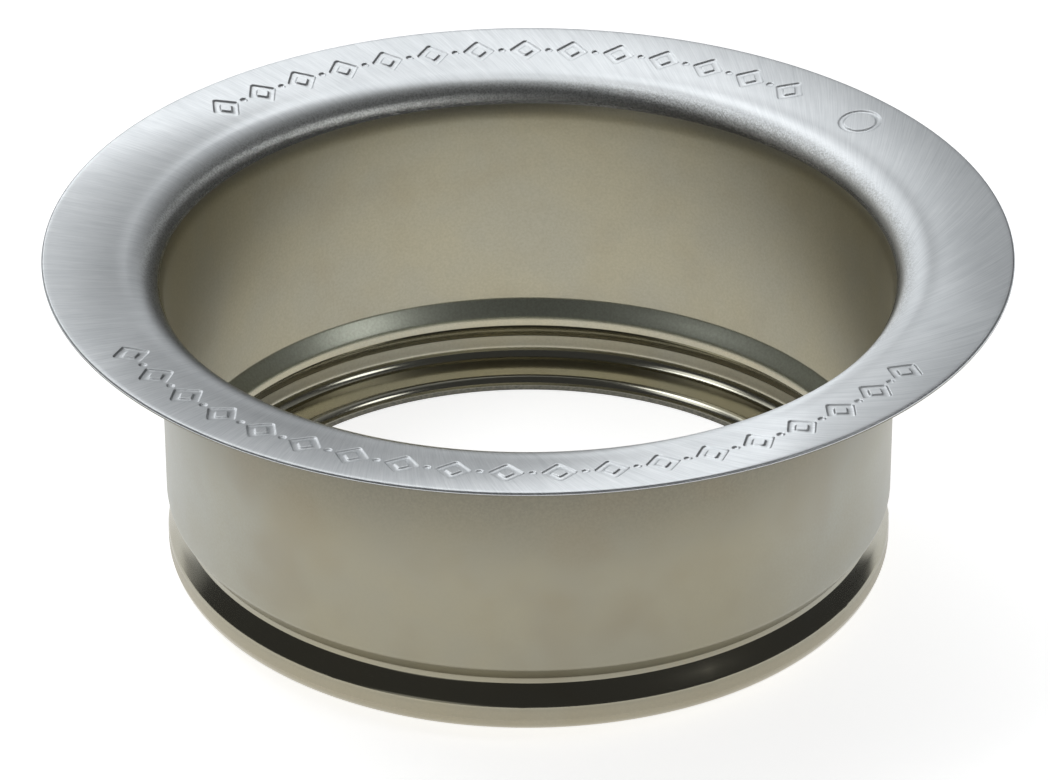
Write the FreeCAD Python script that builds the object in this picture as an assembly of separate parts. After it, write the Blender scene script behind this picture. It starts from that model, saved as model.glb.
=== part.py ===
"""Sink flange of a food-waste disposer: one deep-drawn sheet of stainless steel.

The part is a body of revolution about Z. The origin is the centre of the circle that the neck
stands on, and +Z points up, towards the rim that lies in the sink. Lengths are in millimetres,
and every depth is measured downwards from the top of the rim's edge.
"""

import FreeCAD
import Part
import math
import os

# Sheet and overall size
SHEET = 0.6
RIM_RADIUS = 57.15
SLEEVE_RADIUS = 43.6
NECK_INNER_RADIUS = 37.9
HEIGHT = 42.2

# Rim: a shallow cone that drains inwards, and the bend into the sleeve
RIM_SLOPE = math.radians(6.5)
RIM_BEND = 5.0

# Snap-ring groove, pressed inwards around the lower sleeve
GROOVE_TOP_DEPTH = 31.6
GROOVE_FLOOR_TOP_DEPTH = 33.7
GROOVE_FLOOR_END_DEPTH = 34.6
GROOVE_END_DEPTH = 36.9
GROOVE_INSET = 1.6
GROOVE_BEND = 0.8

# Lower ring, the sloping shelf inside it, and the neck around the opening
SHELF_DEPTH = 40.0
SHELF_SLOPE = math.radians(10.0)
RING_BEND = 2.0
NECK_BEND = 1.15

# Border pressed into the rim: lozenge outlines, with a dimple between neighbours
BORDER_RADIUS = 51.8
BORDER_RECESS = 0.2
LOZENGE_TALL = 4.7
LOZENGE_WIDE = 4.0
LOZENGE_STROKE = 0.8
LOZENGE_CORNER = 0.35
DIMPLE_RADIUS = 0.4

# Arcs of the border, counted anticlockwise from +X: middle of the arc, pitch, number of lozenges
REAR_ARC = (93.6, 6.54, 14)
FRONT_ARC = (267.3, 6.42, 19)

# A plain ring around a dimple, beside the rear arc
RING_MARK_ANGLE = 38.0
RING_MARK_RADIUS = 2.6
RING_MARK_STROKE = 0.6
RING_MARK_DIMPLE = 0.8

# How far a cutter stands past the surface it cuts
CUTTER_OVERLAP = 1.0

# How an outline's corners are filled when it is offset
ROUND_CORNERS = 0
SHARP_CORNERS = 2

FULL_TURN = 360
CENTRE = FreeCAD.Vector(0, 0, 0)
Z_AXIS = FreeCAD.Vector(0, 0, 1)


def section_point(radius, height):
    """A point of the section, which is drawn in the XZ plane."""
    return FreeCAD.Vector(radius, 0, height)


def left_of(direction):
    """The unit vector a quarter turn to the left of a direction in the section's plane."""
    return FreeCAD.Vector(-direction.z, 0, direction.x)


def sheet_middle():
    """Corners of the sheet's middle line from the rim's edge to the neck, and their bends."""
    half = SHEET / 2
    rim_edge = section_point(RIM_RADIUS - half, HEIGHT - half)
    sleeve = SLEEVE_RADIUS - half
    floor = sleeve - GROOVE_INSET
    neck = NECK_INNER_RADIUS + half
    rim_drop = (rim_edge.x - sleeve) * math.tan(RIM_SLOPE)
    shelf_drop = (sleeve - neck) * math.tan(SHELF_SLOPE)
    corners = [
        rim_edge,
        section_point(sleeve, rim_edge.z - rim_drop),
        section_point(sleeve, HEIGHT - GROOVE_TOP_DEPTH),
        section_point(floor, HEIGHT - GROOVE_FLOOR_TOP_DEPTH),
        section_point(floor, HEIGHT - GROOVE_FLOOR_END_DEPTH),
        section_point(sleeve, HEIGHT - GROOVE_END_DEPTH),
        section_point(sleeve, HEIGHT - SHELF_DEPTH),
        section_point(neck, HEIGHT - SHELF_DEPTH - shelf_drop),
        section_point(neck, 0),
    ]
    bends = [RIM_BEND - half] + 4 * [GROOVE_BEND] + [RING_BEND, NECK_BEND]
    return corners, bends


def sheet_side(corners, bends, distance):
    """Lines and bend arcs of the surface that lies a distance to the left of the middle line."""
    runs = [(after - before).normalize() for before, after in zip(corners, corners[1:])]
    edges = []
    start = corners[0] + left_of(runs[0]) * distance
    for corner, bend, run_in, run_out in zip(corners[1:-1], bends, runs, runs[1:]):
        turn = math.atan2(left_of(run_in).dot(run_out), run_in.dot(run_out))
        side = math.copysign(1.0, turn)
        radius = bend - side * distance
        tangent_point = corner - run_in * bend * math.tan(abs(turn) / 2)
        centre = tangent_point + left_of(run_in) * side * bend
        arc_start = centre - left_of(run_in) * side * radius
        arc_middle = centre + (corner - centre).normalize() * radius
        arc_end = centre - left_of(run_out) * side * radius
        edges.append(Part.LineSegment(start, arc_start).toShape())
        edges.append(Part.Arc(arc_start, arc_middle, arc_end).toShape())
        start = arc_end
    edges.append(Part.LineSegment(start, corners[-1] + left_of(runs[-1]) * distance).toShape())
    return edges


def pressed_sheet():
    """The plain flange: the section of the sheet, with a round rim edge, turned about Z."""
    half = SHEET / 2
    corners, bends = sheet_middle()
    outer_side = sheet_side(corners, bends, half)
    inner_side = sheet_side(corners, bends, -half)
    outwards = (corners[0] - corners[1]).normalize()
    rim_cap = Part.Arc(
        inner_side[0].firstVertex(True).Point,
        corners[0] + outwards * half,
        outer_side[0].firstVertex(True).Point,
    )
    neck_end = Part.LineSegment(
        outer_side[-1].lastVertex(True).Point,
        inner_side[-1].lastVertex(True).Point,
    )
    edges = outer_side + inner_side + [rim_cap.toShape(), neck_end.toShape()]
    section = Part.Wire(Part.__sortEdges__(edges))
    return Part.Face(section).revolve(CENTRE, Z_AXIS, FULL_TURN)


def column(outline):
    """A tall upright column on a closed outline."""
    return Part.Face(outline).extrude(Z_AXIS * 2 * HEIGHT)


def circle(radius):
    """A circle around the origin of the XY plane."""
    return Part.Wire(Part.makeCircle(radius, CENTRE, Z_AXIS))


def lozenge(tall, wide):
    """A lozenge with rounded corners around the origin, its height along X."""
    tips = [(tall / 2, 0), (0, wide / 2), (-tall / 2, 0), (0, -wide / 2)]
    points = [FreeCAD.Vector(x, y, 0) for x, y in tips]
    sharp = Part.makePolygon(points + points[:1])
    smaller = sharp.makeOffset2D(-LOZENGE_CORNER, join=SHARP_CORNERS)
    return smaller.makeOffset2D(LOZENGE_CORNER, join=ROUND_CORNERS)


def on_border(shape, degrees):
    """A copy of a shape made at the origin, moved out to the border at an angle about Z."""
    placed = shape.copy()
    placed.translate(FreeCAD.Vector(BORDER_RADIUS, 0, 0))
    placed.rotate(CENTRE, Z_AXIS, degrees)
    return placed


def border_columns():
    """An upright column through every mark of the border."""
    outline = lozenge(LOZENGE_TALL, LOZENGE_WIDE)
    inside = outline.makeOffset2D(-LOZENGE_STROKE, join=SHARP_CORNERS)
    lozenge_outline = column(outline).cut(column(inside))
    dimple = column(circle(DIMPLE_RADIUS))
    columns = []
    for middle, pitch, count in (REAR_ARC, FRONT_ARC):
        first = middle - pitch * (count - 1) / 2
        for number in range(count):
            columns.append(on_border(lozenge_outline, first + pitch * number))
        for number in range(count - 1):
            columns.append(on_border(dimple, first + pitch * (number + 0.5)))
    ring = column(circle(RING_MARK_RADIUS)).cut(column(circle(RING_MARK_RADIUS - RING_MARK_STROKE)))
    columns.append(on_border(ring, RING_MARK_ANGLE))
    columns.append(on_border(column(circle(RING_MARK_DIMPLE)), RING_MARK_ANGLE))
    return columns


def border_layer():
    """The layer that the marks are cut from: a recess deep, along the rim's sloping top."""
    corners, bends = sheet_middle()
    outwards = (corners[0] - corners[1]).normalize()
    upwards = left_of(outwards)
    reach = LOZENGE_TALL
    on_top = corners[0] + upwards * SHEET / 2 - outwards * (corners[0].x - BORDER_RADIUS)
    low = on_top - upwards * BORDER_RECESS
    high = on_top + upwards * CUTTER_OVERLAP
    points = [
        low - outwards * reach,
        low + outwards * reach,
        high + outwards * reach,
        high - outwards * reach,
    ]
    section = Part.Face(Part.makePolygon(points + points[:1]))
    return section.revolve(CENTRE, Z_AXIS, FULL_TURN)


def sink_flange():
    """The finished piece, with the border pressed into its rim."""
    marks = border_layer().common(Part.makeCompound(border_columns()))
    return pressed_sheet().cut(marks).Solids[0]


if __name__ == "__main__":
    os.makedirs("parts", exist_ok=True)
    sink_flange().exportStep("parts/sink_flange.step")
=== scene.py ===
"""Looks of the sink flange: the pressed sheet with its brushed rim, its satin, straw-coloured
sleeve and its glossier spun ring, on a pale floor under soft round lights.

The row frame is the CAD's: the origin is the middle of the circle that the neck stands on, and
+Z points up. The section is worked out in millimetres, and vertices are written in metres.
"""

import math

import bmesh
import bpy
from mathutils import Matrix, Vector, noise
from mathutils.geometry import delaunay_2d_cdt


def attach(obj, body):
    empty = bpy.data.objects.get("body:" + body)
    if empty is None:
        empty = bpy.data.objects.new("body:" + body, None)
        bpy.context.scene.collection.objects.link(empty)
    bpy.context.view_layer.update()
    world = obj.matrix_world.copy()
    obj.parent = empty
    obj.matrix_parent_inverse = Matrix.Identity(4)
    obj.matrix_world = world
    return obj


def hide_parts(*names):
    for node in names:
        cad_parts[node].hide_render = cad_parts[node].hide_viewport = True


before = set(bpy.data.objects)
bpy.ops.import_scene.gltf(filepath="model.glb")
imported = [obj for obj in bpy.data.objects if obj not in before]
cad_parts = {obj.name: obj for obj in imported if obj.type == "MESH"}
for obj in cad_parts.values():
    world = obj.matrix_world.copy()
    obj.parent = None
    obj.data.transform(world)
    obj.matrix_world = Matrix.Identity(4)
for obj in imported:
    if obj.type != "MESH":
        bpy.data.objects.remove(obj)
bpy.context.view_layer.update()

MM = 0.001

# Section of the sheet, in millimetres, as in the CAD source
SHEET = 0.6
RIM_RADIUS = 57.15
SLEEVE_RADIUS = 43.6
NECK_INNER_RADIUS = 37.9
HEIGHT = 42.2
RIM_SLOPE = math.radians(6.5)
RIM_BEND = 5.0
GROOVE_TOP_DEPTH = 31.6
GROOVE_FLOOR_TOP_DEPTH = 33.7
GROOVE_FLOOR_END_DEPTH = 34.6
GROOVE_END_DEPTH = 36.9
GROOVE_INSET = 1.6
GROOVE_BEND = 0.8
SHELF_DEPTH = 40.0
SHELF_SLOPE = math.radians(10.0)
RING_BEND = 2.0
NECK_BEND = 1.15
NECK_EDGE = 0.12

# Border pressed into the rim, in millimetres. An arc is its middle angle and pitch in degrees, and
# its number of lozenges. The margin is a flat strip outside each edge, which keeps shading clean.
BORDER_RADIUS = 51.8
BORDER_RECESS = 0.2
BORDER_EDGE = 0.14
BORDER_MARGIN = 0.03
LOZENGE_TALL = 4.7
LOZENGE_WIDE = 4.0
LOZENGE_STROKE = 0.8
LOZENGE_CORNER = 0.35
LOZENGE_INNER_CORNER = 0.22
DIMPLE_RADIUS = 0.4
REAR_ARC = (93.6, 6.54, 14)
FRONT_ARC = (267.3, 6.42, 19)
RING_MARK_ANGLE = 38.0
RING_MARK_RADIUS = 2.6
RING_MARK_STROKE = 0.6

# Traces of the segmented tool that spread the groove: size around the wall, up it and out of it
TOOL_MARKS = 12
TOOL_MARK_OFFSET = math.radians(-1.0)
TOOL_MARK_WIDTH = 0.55
TOOL_MARK_TALL = 1.3
TOOL_MARK_RISE = 0.07
FAINTEST_TOOL_MARK = 0.4
TOOL_MARK_SEED = (3.7, 1.5)

# Slight waviness of the wall: height of the waves, waves around, and the height of one wave up it.
# The rim and the foot stay true: the waves fade out between these heights.
WAVE_HEIGHT = 0.035
WAVES_AROUND = 2.2
WAVE_TALL = 30
WAVY_TO_RIM = (27.0, 37.0)
WAVY_FROM_FOOT = (0.3, 3.0)

# Fineness of the mesh
AROUND = 360
BAND_INSIDE = 49.0
BAND_OUTSIDE = 54.75
SLEEVE_STEPS = 10
STRAIGHT_STEPS = 2
DEGREES_PER_STEP = 8.5
FEWEST_BEND_STEPS = 4
CAP_STEPS = 8
CAP_SUPPORT = 0.8
NECK_EDGE_STEPS = 3
LIP_STEPS = 4
CORNER_STEPS = 5
SIDE_STEPS = 3
DIMPLE_STEPS = 16
RING_STEPS = 48
RING_INNER_STEPS = 40
MERGE_DISTANCE = 1e-6

# Numbers of the materials on the mesh. A face is brushed if it lies above this height and faces
# up at least this much
BRUSHED, DRAWN_INSIDE, DRAWN_OUTSIDE = range(3)
TOP_FACE_FROM = 38.2
TOP_FACE_TILT = 0.02

# Brushed rim: how far the strokes lean from the radius, least at the left and most at the right,
# the height where the bend begins, and the crown, a parabola across the rim, in millimetres
STROKE_LEAN = math.radians(25)
STROKE_LEAN_CHANGE = math.radians(25)
MOST_LEANING_AT = math.radians(5)
BEND_FROM_HEIGHT = 41.2
CROWN_FROM_RADIUS = 48.3
CROWN_SOFTNESS = 1.2
CROWN_MIDDLE = 52.5
CROWN_CURVE = -0.0136

# The camera, in millimetres of lens and sensor, and in metres and degrees
SENSOR = 36.0
LENS = 178.31
NEAREST = 0.01
CAMERA_AT = (0.0, -0.5381, 0.3343)
CAMERA_PITCH = math.radians(30.13)
CAMERA_YAW = math.radians(-0.042)
CAMERA_ROLL = math.radians(-0.10)

# The floor: half its width in metres, its look, and its own soft glow. The glow's middle is on the
# Y axis. It has one strength near the middle and another far from it, at distances in millimetres.
FLOOR_REACH = 3.0
FLOOR_GREY = 0.82
FLOOR_ROUGHNESS = 0.9
GLOW_MIDDLE_Y = 45.0
GLOW_NEAR = (125.0, 0.78)
GLOW_FAR = (420.0, 0.42)

# Soft round lights. Each is an azimuth from +Y towards +X, an elevation, the radius of its even
# core and of its faded edge, all in degrees, and its level. The rest of the room is dim, and the
# backdrop that the camera sees is pale.
SOURCES = [
    (-150, 6, 3, 20, 0.45),
    (-48, 6, 3, 19, 0.42),
    (-5, 15, 3, 30, 0.55),
    (-54, 45, 3, 27, 0.95),
    (-30, 45, 3, 30, 1.35),
    (15, 45, 3, 30, 0.48),
    (60, 45, 3, 30, 0.18),
    (0, 70, 3, 22, 0.8),
    (60, 70, 3, 22, 0.2),
    (-84, 63, 3, 11, 4.2),
    (118, 41, 3, 10, 3.4),
    (-106, 50, 3, 13, 1.8),
]
DIM = 0.065
BACKDROP = 0.84
LIGHT_COLOUR = (0.97, 0.985, 1.0, 1)


def left_of(direction):
    """The unit vector a quarter turn to the left of a direction in the section's plane."""
    return Vector((-direction.y, direction.x))


def turned(direction, angle):
    """A direction in the section's plane, turned anticlockwise."""
    return Matrix.Rotation(angle, 2) @ direction


def sheet_middle():
    """Corners of the sheet's middle line from the rim's edge to the neck, and their bends."""
    half = SHEET / 2
    rim_edge = Vector((RIM_RADIUS - half, HEIGHT - half))
    sleeve = SLEEVE_RADIUS - half
    groove = sleeve - GROOVE_INSET
    neck = NECK_INNER_RADIUS + half
    rim_drop = (rim_edge.x - sleeve) * math.tan(RIM_SLOPE)
    shelf_drop = (sleeve - neck) * math.tan(SHELF_SLOPE)
    corners = [
        rim_edge,
        Vector((sleeve, rim_edge.y - rim_drop)),
        Vector((sleeve, HEIGHT - GROOVE_TOP_DEPTH)),
        Vector((groove, HEIGHT - GROOVE_FLOOR_TOP_DEPTH)),
        Vector((groove, HEIGHT - GROOVE_FLOOR_END_DEPTH)),
        Vector((sleeve, HEIGHT - GROOVE_END_DEPTH)),
        Vector((sleeve, HEIGHT - SHELF_DEPTH)),
        Vector((neck, HEIGHT - SHELF_DEPTH - shelf_drop)),
        Vector((neck, 0.0)),
    ]
    bends = [RIM_BEND - half] + 4 * [GROOVE_BEND] + [RING_BEND, NECK_BEND]
    return corners, bends


def middle_line():
    """Points of the middle line with their normals, which point to the underside and outside."""
    corners, bends = sheet_middle()
    runs = [(after - before).normalized() for before, after in zip(corners, corners[1:])]
    line = [(corners[0], left_of(runs[0]))]
    for number, bend in enumerate(bends):
        corner, run_in, run_out = corners[number + 1], runs[number], runs[number + 1]
        turn = math.atan2(left_of(run_in).dot(run_out), run_in.dot(run_out))
        side = math.copysign(1.0, turn)
        start = corner - run_in * bend * math.tan(abs(turn) / 2)
        centre = start + left_of(run_in) * side * bend
        straight_from = line[-1][0]
        steps = SLEEVE_STEPS if number == 1 else STRAIGHT_STEPS
        for step in range(1, steps):
            line.append((straight_from.lerp(start, step / steps), left_of(run_in)))
        steps = math.ceil(math.degrees(abs(turn)) / DEGREES_PER_STEP)
        steps = max(FEWEST_BEND_STEPS, steps)
        for step in range(steps + 1):
            normal = turned(left_of(run_in), turn * step / steps)
            line.append((centre - normal * side * bend, normal))
    line.append((corners[-1], left_of(runs[-1])))
    return line


def rim_top(radius):
    """Height of the rim's sloping top at a radius."""
    half = SHEET / 2
    edge_radius = RIM_RADIUS - half + half * math.sin(-RIM_SLOPE)
    edge_height = HEIGHT - half + half * math.cos(RIM_SLOPE)
    return edge_height - (edge_radius - radius) * math.tan(RIM_SLOPE)


def round_edge(centre, normal, radius, start, end, steps):
    """Points around an edge: the normal turned from one angle to another about a centre."""
    angles = [start + (end - start) * step / steps for step in range(steps + 1)]
    return [centre + turned(normal, angle) * radius for angle in angles]


def outline():
    """The section's closed outline: outside downwards, the neck's end, inside upwards, the rim's
    edge. Returns the points, and the two places between which the border's band goes."""
    half = SHEET / 2
    line = middle_line()
    outside = [point + normal * half for point, normal in line]
    inside = [point - normal * half for point, normal in reversed(line)]
    neck_outer, neck_inner = outside.pop(), inside.pop(0)
    quarter = math.pi / 2
    outer_centre = neck_outer + Vector((-NECK_EDGE, NECK_EDGE))
    inner_centre = neck_inner + Vector((NECK_EDGE, NECK_EDGE))
    east = Vector((1.0, 0.0))
    neck_end = round_edge(outer_centre, east, NECK_EDGE, 0, -quarter, NECK_EDGE_STEPS)
    neck_end += round_edge(
        inner_centre, east, NECK_EDGE, -quarter, -2 * quarter, NECK_EDGE_STEPS
    )
    above_edge = Vector((0.0, (outside[-1].y + NECK_EDGE) / 2))
    outside.append(neck_outer + above_edge)
    inside.insert(0, neck_inner + above_edge)
    # the rim's top is a straight run outwards: the band's two circles go on it
    inside = [point for point in inside if point.x <= BAND_INSIDE]
    band_in = Vector((BAND_INSIDE, rim_top(BAND_INSIDE)))
    band_out = Vector((BAND_OUTSIDE, rim_top(BAND_OUTSIDE)))
    inside.append(band_in)
    rim_edge, rim_normal = line[0]
    cap = round_edge(rim_edge, rim_normal, half, math.pi, 0, CAP_STEPS)[:-1]
    support = band_out.lerp(cap[0], CAP_SUPPORT)
    points = outside + neck_end + inside + [band_out, support] + cap
    gap = len(outside + neck_end + inside) - 1
    return points, gap


def formed(point, angle):
    """A point of the revolved section, in millimetres, pushed along the radius by its sway."""
    radius = point.x + sway(point.y, angle)
    return Vector((radius * math.cos(angle), radius * math.sin(angle), point.y))


def smooth_step(low, high, value):
    """0 below low, 1 above high, and a smooth rise between."""
    share = min(1.0, max(0.0, (value - low) / (high - low)))
    return share * share * (3 - 2 * share)


def sway(height, angle):
    """How far the wall stands out of its circle: slow waves, and the groove tool's marks."""
    below_rim = 1 - smooth_step(*WAVY_TO_RIM, height)
    above_foot = smooth_step(*WAVY_FROM_FOOT, height)
    around = Vector((math.cos(angle), math.sin(angle), height / WAVE_TALL)) * WAVES_AROUND
    waves = WAVE_HEIGHT * noise.noise(around)
    groove_end = HEIGHT - GROOVE_END_DEPTH
    nearness = math.exp(-(((height - groove_end) / TOOL_MARK_TALL) ** 2))
    pitch = 2 * math.pi / TOOL_MARKS
    off = (angle - TOOL_MARK_OFFSET + pitch / 2) % pitch - pitch / 2
    index = round((angle - TOOL_MARK_OFFSET - off) / pitch)
    seed_step, seed_row = TOOL_MARK_SEED
    chance = noise.cell(Vector((index * seed_step, seed_row, 0.0)))
    strength = FAINTEST_TOOL_MARK + (1 - FAINTEST_TOOL_MARK) * chance
    mark = math.exp(-((off * SLEEVE_RADIUS / TOOL_MARK_WIDTH) ** 2))
    return below_rim * above_foot * (waves + TOOL_MARK_RISE * strength * mark * nearness)


class Loop:
    """A closed outline in the border, local to its mark, with its depth under the rim's top."""

    def __init__(self, points, depth):
        self.points = points
        self.depth = depth


def edge_steps():
    """Growth and share of the full depth across the rounded edge of a recess.

    The first step lies on the flat rim, just outside the edge, and keeps the rim's shading flat."""
    yield BORDER_EDGE + BORDER_MARGIN, 0.0
    for step in range(LIP_STEPS + 1):
        share = step / LIP_STEPS
        yield BORDER_EDGE * (1 - 2 * share), smooth_step(0.0, 1.0, share)


def rounded_lozenge(inset, radius):
    """A lozenge whose core is inset from the mark's sides and grown again by a radius."""
    half_tall, half_wide = LOZENGE_TALL / 2, LOZENGE_WIDE / 2
    side = half_tall * half_wide / math.hypot(half_tall, half_wide)
    core = (side - inset) / side
    lean = math.atan2(half_tall, half_wide)
    points = []
    for quarter in range(4):
        middle = quarter * math.pi / 2
        spread = lean if quarter % 2 == 0 else math.pi / 2 - lean
        reach = half_tall if quarter % 2 == 0 else half_wide
        centre = Vector((math.cos(middle), math.sin(middle))) * reach * core
        for step in range(CORNER_STEPS + 1):
            angle = middle - spread + 2 * spread * step / CORNER_STEPS
            points.append(centre + Vector((math.cos(angle), math.sin(angle))) * radius)
    full = []
    per_corner = CORNER_STEPS + 1
    for number, point in enumerate(points):
        full.append(point)
        if number % per_corner == per_corner - 1:
            following = points[(number + 1) % len(points)]
            full += [point.lerp(following, step / SIDE_STEPS) for step in range(1, SIDE_STEPS)]
    return full


def circle(radius, steps):
    """Points around a circle."""
    angles = [2 * math.pi * step / steps for step in range(steps)]
    return [Vector((math.cos(angle), math.sin(angle))) * radius for angle in angles]


def lozenge_loops():
    """Loops of a lozenge's outline stroke, from its outer lip to its inner lip."""
    loops = []
    for grow, share in edge_steps():
        loops.append(Loop(rounded_lozenge(LOZENGE_CORNER, LOZENGE_CORNER + grow), share))
    inset = LOZENGE_STROKE + LOZENGE_INNER_CORNER
    for grow, share in edge_steps():
        loops.append(Loop(rounded_lozenge(inset, LOZENGE_INNER_CORNER - grow), share))
    return loops


def dimple_loops(radius, steps):
    """Loops of a round dimple."""
    return [Loop(circle(radius + grow, steps), share) for grow, share in edge_steps()]


def ring_mark_loops():
    """Loops of the plain ring, whose middle is left flat."""
    loops = dimple_loops(RING_MARK_RADIUS, RING_STEPS)
    inner = RING_MARK_RADIUS - RING_MARK_STROKE
    for grow, share in edge_steps():
        loops.append(Loop(circle(inner - grow, RING_INNER_STEPS), share))
    return loops


def placed(loops, degrees):
    """Loops made at the origin, moved out to the border at an angle about Z."""
    turn = Matrix.Rotation(math.radians(degrees), 2)
    out = Vector((BORDER_RADIUS, 0.0))
    return [Loop([turn @ (point + out) for point in loop.points], loop.depth) for loop in loops]


def border_loops():
    """Loops of every mark of the border, in the XY plane."""
    loops = []
    for middle, pitch, count in (REAR_ARC, FRONT_ARC):
        first = middle - pitch * (count - 1) / 2
        for number in range(count):
            loops += placed(lozenge_loops(), first + pitch * number)
        for number in range(count - 1):
            dimple = dimple_loops(DIMPLE_RADIUS, DIMPLE_STEPS)
            loops += placed(dimple, first + pitch * (number + 0.5))
    return loops + placed(ring_mark_loops(), RING_MARK_ANGLE)


def border_band(inner_ring, outer_ring):
    """Faces of the rim's top between two rings of vertices, with the border pressed into it.

    Returns the flat vertices in millimetres, the depth share of every point that went in, each
    vertex's number among those points, and the faces. The two rings are the first points."""
    flat, depths, edges = [], [], []

    def add(points, depth):
        start = len(flat)
        flat.extend(points)
        depths.extend([depth] * len(points))
        count = len(points)
        edges.extend((start + i, start + (i + 1) % count) for i in range(count))

    add([Vector((point.x, point.y)) for point in inner_ring], 0.0)
    add([Vector((point.x, point.y)) for point in outer_ring], 0.0)
    for loop in border_loops():
        add(loop.points, loop.depth)
    made, _, faces, origins, _, _ = delaunay_2d_cdt(flat, edges, [], 0, MERGE_DISTANCE)
    source = [origin[0] for origin in origins]
    kept = [face for face in faces if any(source[i] >= AROUND for i in face)]
    return made, depths, source, kept


def flange_mesh():
    """The whole sheet as one closed mesh."""
    points, gap = outline()
    vertices = []
    for point in points:
        for step in range(AROUND):
            angle = 2 * math.pi * step / AROUND
            vertices.append(formed(point, angle))
    faces = []
    for row in range(len(points)):
        if row == gap:
            continue
        after = (row + 1) % len(points)
        for step in range(AROUND):
            side = (step + 1) % AROUND
            corners = [(row, step), (row, side), (after, side), (after, step)]
            faces.append([r * AROUND + s for r, s in corners])
    rings = [vertices[row * AROUND : (row + 1) * AROUND] for row in (gap, gap + 1)]
    made, depths, source, kept = border_band(*rings)
    number = {}
    for index, origin in enumerate(source):
        if origin < 2 * AROUND:
            number[index] = gap * AROUND + origin
        else:
            number[index] = len(vertices)
            radius = made[index].length
            height = rim_top(radius) - BORDER_RECESS * depths[origin]
            vertices.append(Vector((made[index].x, made[index].y, height)))
    faces += [[number[i] for i in face] for face in kept]
    mesh = bpy.data.meshes.new("pressed_flange")
    mesh.from_pydata([tuple(vertex * MM) for vertex in vertices], [], faces)
    work = bmesh.new()
    work.from_mesh(mesh)
    bmesh.ops.recalc_face_normals(work, faces=work.faces)
    work.to_mesh(mesh)
    work.free()
    mesh.polygons.foreach_set("use_smooth", [True] * len(mesh.polygons))
    return mesh


class Nodes:
    """Makes the nodes of one tree. A value may be a number, a colour or another node's output."""

    def __init__(self, tree):
        tree.nodes.clear()
        self.tree = tree

    def make(self, kind, inputs=(), **settings):
        node = self.tree.nodes.new(kind)
        for name, value in settings.items():
            setattr(node, name, value)
        for name, value in dict(inputs).items():
            self.put(node.inputs[name], value)
        return node

    def put(self, socket, value):
        if isinstance(value, bpy.types.NodeSocket):
            self.tree.links.new(value, socket)
        else:
            socket.default_value = value

    def math(self, operation, *values):
        node = self.make("ShaderNodeMath", operation=operation)
        for socket, value in zip(node.inputs, values):
            self.put(socket, value)
        return node.outputs[0]

    def add(self, a, b):
        return self.math("ADD", a, b)

    def times(self, a, b):
        return self.math("MULTIPLY", a, b)

    def fade(self, value, low, high, start=0.0, end=1.0):
        """A smooth change from start to end as the value goes from low to high."""
        inputs = {"Value": value, "From Min": low, "From Max": high, "To Min": start, "To Max": end}
        node = self.make("ShaderNodeMapRange", inputs, interpolation_type="SMOOTHSTEP")
        return node.outputs[0]

    def noise(self, vector, scale, detail=2.0, roughness=0.5):
        inputs = {"Vector": vector, "Scale": scale, "Detail": detail, "Roughness": roughness}
        return self.make("ShaderNodeTexNoise", inputs).outputs["Fac"]

    def blend(self, share, a, b):
        """Colour a where the share is 0 and colour b where it is 1."""
        return self.mixed("RGBA", share, a, b)

    def blend_value(self, share, a, b):
        """Number a where the share is 0 and number b where it is 1."""
        return self.mixed("FLOAT", share, a, b)

    def mixed(self, kind, share, a, b):
        node = self.make("ShaderNodeMix", data_type=kind)
        socket_type = "RGBA" if kind == "RGBA" else "VALUE"
        first, second = [
            socket for socket in node.inputs if socket.type == socket_type and socket.name in "AB"
        ]
        self.put(node.inputs["Factor"], share)
        self.put(first, a)
        self.put(second, b)
        return next(socket for socket in node.outputs if socket.type == socket_type)

    def combine(self, x, y, z):
        return self.make("ShaderNodeCombineXYZ", {"X": x, "Y": y, "Z": z}).outputs[0]

    def position(self):
        """The place on the object in millimetres: the vector, then x, y and z."""
        coordinates = self.make("ShaderNodeTexCoord").outputs["Object"]
        scaled = self.make("ShaderNodeVectorMath", operation="SCALE")
        self.put(scaled.inputs[0], coordinates)
        self.put(scaled.inputs["Scale"], 1 / MM)
        parts = self.make("ShaderNodeSeparateXYZ", {"Vector": scaled.outputs[0]}).outputs
        return scaled.outputs[0], parts[0], parts[1], parts[2]


def steel_material(name):
    """A metal material's nodes and its shader."""
    material = bpy.data.materials.new(name)
    material.use_nodes = True
    nodes = Nodes(material.node_tree)
    shader = nodes.make("ShaderNodeBsdfPrincipled", {"Metallic": 1.0})
    nodes.make("ShaderNodeOutputMaterial", {"Surface": shader.outputs[0]})
    return material, nodes, shader


def bumped(nodes, height, distance, normal=None):
    """A normal bent by a height from 0 to 1 that stands for a distance in millimetres."""
    inputs = {"Height": height, "Distance": distance * MM, "Strength": 1.0}
    if normal is not None:
        inputs["Normal"] = normal
    return nodes.make("ShaderNodeBump", inputs).outputs[0]


def stroke_directions(nodes, angle):
    """How far the brush strokes lean from the radius, and the way the highlight spreads."""
    lean_wave = nodes.math("COSINE", nodes.math("SUBTRACT", angle, MOST_LEANING_AT))
    lean = nodes.math("MULTIPLY_ADD", lean_wave, STROKE_LEAN_CHANGE, STROKE_LEAN)
    # the shader spreads its highlight along the tangent: across the strokes
    across = nodes.add(nodes.add(angle, lean), math.pi / 2)
    tangent = nodes.combine(nodes.math("COSINE", across), nodes.math("SINE", across), 0.0)
    return lean, tangent


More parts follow.
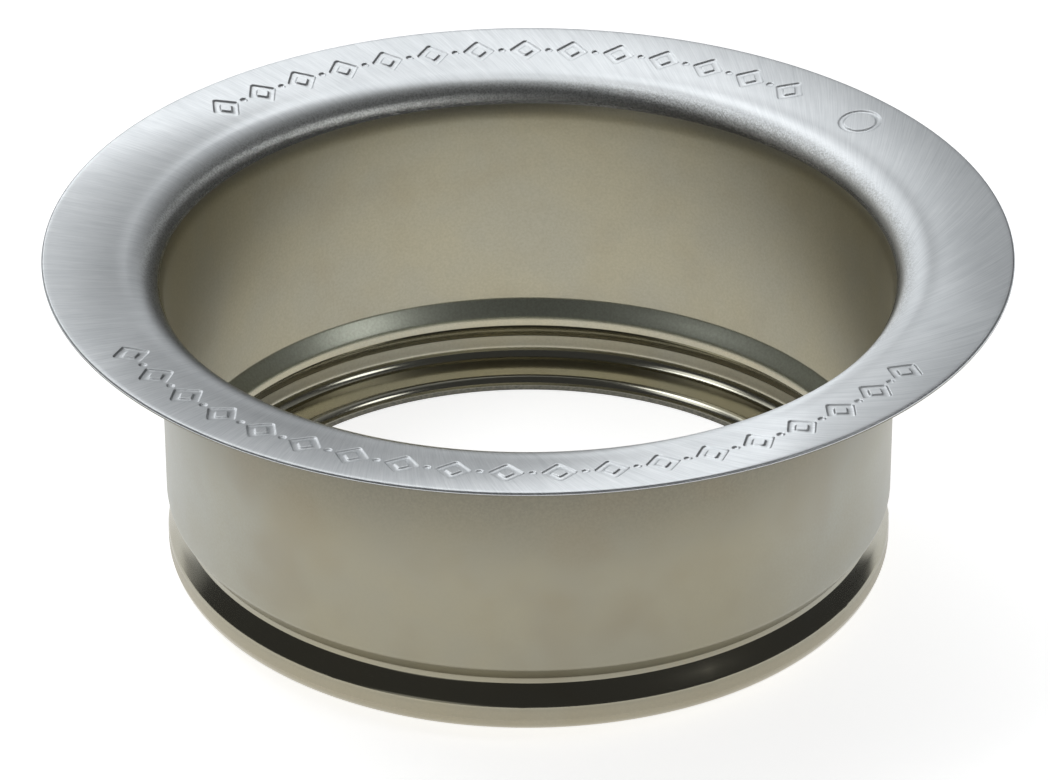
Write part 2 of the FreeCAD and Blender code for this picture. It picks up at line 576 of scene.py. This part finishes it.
def brush_strokes(nodes, angle, radius, z, lean):
    """Fine and coarse strokes, and short deeper scratches down the bend."""
    slant = nodes.math("TANGENT", lean)
    down_bend = nodes.math("MAXIMUM", nodes.math("SUBTRACT", BEND_FROM_HEIGHT, z), 0.0)
    along = nodes.math("MULTIPLY_ADD", down_bend, -0.8, radius)
    log_run = nodes.math("LOGARITHM", nodes.math("DIVIDE", along, BORDER_RADIUS), math.e)
    across = nodes.math("SUBTRACT", angle, nodes.times(slant, log_run))
    ring_x = nodes.times(nodes.math("COSINE", across), BORDER_RADIUS)
    ring_y = nodes.times(nodes.math("SINE", across), BORDER_RADIUS)
    fine_at = nodes.combine(ring_x, ring_y, nodes.times(along, 0.05))
    fine = nodes.noise(fine_at, 5.0, 3.0, 0.6)
    coarse_at = nodes.combine(ring_x, ring_y, nodes.times(along, 0.12))
    coarse = nodes.noise(coarse_at, 1.1, 2.0, 0.5)
    scratch_at = nodes.combine(ring_x, ring_y, nodes.times(z, 0.6))
    on_bend = nodes.fade(z, 41.0, 39.4, 0.0, 6.0)
    scratches = nodes.times(nodes.noise(scratch_at, 4.5, 2.0, 0.6), on_bend)
    return fine, coarse, scratches


def silver_colour(nodes, place, x, z, share):
    """Silver by its share of brightness, warmer down the bend, speckled on it, and with a painted
    highlight and painted shade on the bend.
    """
    silver = nodes.blend(share, (0.53, 0.555, 0.57, 1), (0.925, 0.945, 0.955, 1))
    toward_sleeve = nodes.fade(z, 40.4, 38.0)
    colour = nodes.blend(toward_sleeve, silver, (0.50, 0.47, 0.40, 1))
    speckle = nodes.fade(nodes.noise(place, 4.2, 2.0, 0.6), 0.40, 0.62, 0.0, 0.45)
    on_bend = nodes.fade(z, 41.0, 39.8)
    # the bend is lighter at the left and rear, a painted highlight, and darker low at the far
    # right, a painted shade
    painted_highlight_left = nodes.times(on_bend, nodes.fade(x, 30.0, -10.0, 0.0, 0.5))
    colour = nodes.blend(painted_highlight_left, colour, (0.93, 0.94, 0.90, 1))
    # darker low on the bend at the far right: painted shade
    painted_shade_right = nodes.times(nodes.fade(z, 39.9, 38.7), nodes.fade(x, 33.0, 42.0, 0.0, 0.7))
    colour = nodes.blend(painted_shade_right, colour, (0.28, 0.28, 0.26, 1))
    colour = nodes.blend(nodes.times(speckle, on_bend), colour, (0.24, 0.24, 0.215, 1))
    return toward_sleeve, colour


def brushed_steel():
    """Silver rim, brushed roughly outwards in slightly swirling strokes."""
    material, nodes, shader = steel_material("brushed_steel")
    place, x, y, z = nodes.position()
    angle = nodes.math("ARCTAN2", y, x)
    radius = nodes.math("SQRT", nodes.add(nodes.times(x, x), nodes.times(y, y)))
    lean, tangent = stroke_directions(nodes, angle)
    fine, coarse, scratches = brush_strokes(nodes, angle, radius, z, lean)
    cloud = nodes.noise(place, 0.16, 3.0, 0.6)
    coarse_tone = nodes.times(nodes.math("SUBTRACT", coarse, 0.5), 0.45)
    streaks = nodes.math("MULTIPLY_ADD", nodes.math("SUBTRACT", fine, 0.5), 0.85, coarse_tone)
    tone = nodes.math("MULTIPLY_ADD", nodes.math("SUBTRACT", cloud, 0.5), 0.40, streaks)
    # the rim is toned darker towards its right side: painted shade
    share = nodes.add(tone, nodes.fade(x, 36.0, 52.0, 0.5, 0.3))
    toward_sleeve, colour = silver_colour(nodes, place, x, z, share)
    nodes.put(shader.inputs["Base Color"], colour)
    rough = nodes.math("MULTIPLY_ADD", share, 0.10, 0.37)
    nodes.put(shader.inputs["Roughness"], nodes.blend_value(toward_sleeve, rough, 0.24))
    shader.inputs["Anisotropic"].default_value = 0.95
    nodes.put(shader.inputs["Tangent"], tangent)
    # the brushed face is faintly crowned: it falls away from its middle by a parabola
    out = nodes.math("SMOOTH_MAX", radius, CROWN_FROM_RADIUS, CROWN_SOFTNESS)
    off_middle = nodes.math("SUBTRACT", out, CROWN_MIDDLE)
    crown = nodes.times(nodes.times(off_middle, off_middle), CROWN_CURVE)
    crowned = bumped(nodes, crown, 1.0)
    height = nodes.add(nodes.math("MULTIPLY_ADD", coarse, 0.6, fine), scratches)
    nodes.put(shader.inputs["Normal"], bumped(nodes, height, 0.008, crowned))
    return material


def satin_tint(nodes, place):
    """Broad clouds, and with them the straw tint of the drawn sheet."""
    broad = nodes.noise(place, 0.07, 3.0, 0.55)
    patches = nodes.noise(place, 0.16, 2.0, 0.5)
    cloudy = nodes.fade(broad, 0.35, 0.65)
    tint = nodes.blend(cloudy, (0.46, 0.425, 0.31, 1), (0.43, 0.41, 0.325, 1))
    patchy = nodes.fade(patches, 0.45, 0.80, 0.0, 0.35)
    return broad, nodes.blend(patchy, tint, (0.37, 0.32, 0.215, 1))


def outside_tint(nodes, place, x, z, tint):
    """Darker, most of all close under the rim, and cooler and paler towards the sides: painted
    shade under the rim, and at the sides a painted reflection.
    """
    # the whole outside is toned darker than the inside: painted shade
    tint = nodes.blend(0.51, tint, (0.225, 0.208, 0.155, 1))
    stains = nodes.noise(place, 0.055, 2.0, 0.6)
    # paler, cooler sides of the wall: painted reflection of the pale surroundings, mottled by the
    # stains
    left = nodes.fade(x, -24.0, -43.0, 0.0, 0.75)
    right = nodes.fade(x, 20.0, 43.5, 0.0, 0.65)
    cool = nodes.times(nodes.add(left, right), nodes.fade(stains, 0.30, 0.62, 0.55, 1.0))
    cool = nodes.times(cool, nodes.fade(z, 4.5, 11.0, 0.3, 1.0))
    tint = nodes.blend(cool, tint, (0.40, 0.42, 0.41, 1))
    # darker close under the rim: painted shade of its overhang
    tint = nodes.blend(nodes.fade(z, 20.0, 38.0, 0.0, 0.95), tint, (0.155, 0.146, 0.115, 1))
    tint = nodes.blend(nodes.fade(z, 5.5, 4.5, 0.0, 0.3), tint, (0.47, 0.41, 0.30, 1))
    return nodes.blend(nodes.fade(stains, 0.55, 0.70, 0.0, 0.22), tint, (0.24, 0.19, 0.12, 1))


def inside_tint(nodes, z, tint):
    """Paler, most of all on the upper slope of the groove, where it is painted light, and dark low
    on the neck: the cut edge's own dark, with painted shade above it.
    """
    # the whole inside is toned paler than the outside: painted light
    tint = nodes.blend(0.15, tint, (0.56, 0.53, 0.42, 1))
    # the groove's upper slope inside is paled: painted light on its dark reflection
    in_groove = nodes.times(nodes.fade(z, 10.9, 10.5), nodes.fade(z, 8.3, 8.8))
    tint = nodes.blend(in_groove, tint, (0.60, 0.63, 0.53, 1))
    tint = nodes.blend(nodes.fade(z, 3.8, 3.2, 0.0, 0.5), tint, (0.44, 0.44, 0.385, 1))
    # dark low on the inner neck: the cut edge's own dark, and painted shade above it where the neck
    # meets the floor
    return nodes.blend(nodes.fade(z, 0.95, 0.55), tint, (0.08, 0.08, 0.07, 1))


def drawn_steel(name, outside):
    """Satin sleeve, glossy where the ring was spun. The outside is toned darker and the inside
    paler: painted shade and painted light.
    """
    material, nodes, shader = steel_material(name)
    place, x, _, z = nodes.position()
    broad, tint = satin_tint(nodes, place)
    grain = nodes.noise(place, 3.2, 3.0, 0.6)
    if outside:
        tint = outside_tint(nodes, place, x, z, tint)
    else:
        tint = inside_tint(nodes, z, tint)
    tint = nodes.blend(nodes.fade(grain, 0.25, 0.75, 0.0, 0.34), tint, (0.31, 0.29, 0.225, 1))
    nodes.put(shader.inputs["Base Color"], tint)
    # from the sleeve down: its satin, the groove's slope, the spun ring, its wall and the shelf
    rough = nodes.blend_value(nodes.fade(z, 11.0, 10.6), 0.42, 0.36)
    rough = nodes.blend_value(nodes.fade(z, 8.5, 8.0), rough, 0.15)
    ring_wall = nodes.times(nodes.fade(z, 5.35, 5.0), nodes.fade(z, 3.2, 3.8))
    rough = nodes.blend_value(ring_wall, rough, 0.40)
    rough = nodes.blend_value(nodes.fade(z, 3.8, 3.2), rough, 0.14)
    nodes.put(shader.inputs["Roughness"], rough)
    cloudy_grain = nodes.math("MULTIPLY_ADD", broad, 6.0, grain)
    height = nodes.times(cloudy_grain, nodes.fade(z, 7.8, 9.0, 0.15, 1.0))
    nodes.put(shader.inputs["Normal"], bumped(nodes, height, 0.004))
    return material


def finish_of(polygon):
    """Number of a face's material: the brushed top, the inside or the outside of the sleeve."""
    centre = polygon.center / MM
    radius = math.hypot(centre.x, centre.y)
    above_sleeve = centre.z > TOP_FACE_FROM and radius > SLEEVE_RADIUS - SHEET
    if above_sleeve and polygon.normal.z > TOP_FACE_TILT:
        return BRUSHED
    inwards = polygon.normal.x * centre.x + polygon.normal.y * centre.y < 0
    return DRAWN_INSIDE if inwards else DRAWN_OUTSIDE


def make_flange():
    """The visible piece, which stands for the CAD solid."""
    mesh = flange_mesh()
    piece = bpy.data.objects.new("pressed_flange", mesh)
    bpy.context.scene.collection.objects.link(piece)
    mesh.materials.append(brushed_steel())
    mesh.materials.append(drawn_steel("drawn_steel_inside", False))
    mesh.materials.append(drawn_steel("drawn_steel_outside", True))
    finishes = [finish_of(polygon) for polygon in mesh.polygons]
    mesh.polygons.foreach_set("material_index", finishes)
    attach(piece, "root")
    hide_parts("sink_flange")


def make_floor():
    """The pale floor that the neck stands on."""
    reach = FLOOR_REACH
    mesh = bpy.data.meshes.new("floor")
    corners = [(-reach, -reach, 0), (reach, -reach, 0), (reach, reach, 0), (-reach, reach, 0)]
    mesh.from_pydata(corners, [], [(0, 1, 2, 3)])
    floor = bpy.data.objects.new("floor", mesh)
    bpy.context.scene.collection.objects.link(floor)
    material = bpy.data.materials.new("pale_floor")
    material.use_nodes = True
    nodes = Nodes(material.node_tree)
    shader = nodes.make("ShaderNodeBsdfPrincipled", {"Roughness": FLOOR_ROUGHNESS})
    nodes.make("ShaderNodeOutputMaterial", {"Surface": shader.outputs[0]})
    shader.inputs["Base Color"].default_value = (FLOOR_GREY, FLOOR_GREY, FLOOR_GREY, 1)
    shader.inputs["Specular IOR Level"].default_value = 0.0
    shader.inputs["Emission Color"].default_value = (1.0, 1.0, 1.0, 1)
    _, x, y, _ = nodes.position()
    ahead = nodes.math("SUBTRACT", y, GLOW_MIDDLE_Y)
    away = nodes.math("SQRT", nodes.add(nodes.times(x, x), nodes.times(ahead, ahead)))
    near, bright = GLOW_NEAR
    far, faint = GLOW_FAR
    nodes.put(shader.inputs["Emission Strength"], nodes.fade(away, near, far, bright, faint))
    mesh.materials.append(material)


def glow(nodes, direction, azimuth, elevation, inner, outer, level):
    """The light from a soft round source. Azimuth runs from +Y towards +X; angles in degrees."""
    around, up = math.radians(azimuth), math.radians(elevation)
    towards = (math.sin(around) * math.cos(up), math.cos(around) * math.cos(up), math.sin(up))
    middle = nodes.make("ShaderNodeVectorMath", operation="DOT_PRODUCT")
    nodes.put(middle.inputs[0], direction)
    middle.inputs[1].default_value = towards
    rim, core = math.cos(math.radians(outer)), math.cos(math.radians(inner))
    return nodes.fade(middle.outputs["Value"], rim, core, 0.0, level)


def make_light():
    """Soft sources above and behind, most of them at the left, in an otherwise dim room.

    The camera sees a plain pale backdrop in place of them."""
    world = bpy.data.worlds.new("soft_studio")
    bpy.context.scene.world = world
    world.use_nodes = True
    nodes = Nodes(world.node_tree)
    direction = nodes.make("ShaderNodeTexCoord").outputs["Generated"]
    strength = DIM
    for source in SOURCES:
        strength = nodes.add(strength, glow(nodes, direction, *source))
    seen = nodes.make("ShaderNodeLightPath").outputs["Is Camera Ray"]
    strength = nodes.blend_value(seen, strength, BACKDROP)
    background = nodes.make("ShaderNodeBackground", {"Strength": strength})
    background.inputs["Color"].default_value = LIGHT_COLOUR
    nodes.make("ShaderNodeOutputWorld", {"Surface": background.outputs[0]})
    bpy.context.scene.view_settings.view_transform = "Standard"


def make_camera():
    """The camera at the photograph's viewing angle."""
    data = bpy.data.cameras.new("camera")
    data.sensor_width = SENSOR
    data.lens = LENS
    data.clip_start = NEAREST
    camera = bpy.data.objects.new("camera", data)
    bpy.context.scene.collection.objects.link(camera)
    up_from_down = math.pi / 2 - CAMERA_PITCH
    turn = Matrix.Rotation(-CAMERA_YAW, 4, "Z") @ Matrix.Rotation(up_from_down, 4, "X")
    turn = turn @ Matrix.Rotation(CAMERA_ROLL, 4, "Z")
    camera.matrix_world = Matrix.Translation(CAMERA_AT) @ turn
    bpy.context.scene.camera = camera


make_camera()
make_flange()
make_floor()
make_light()
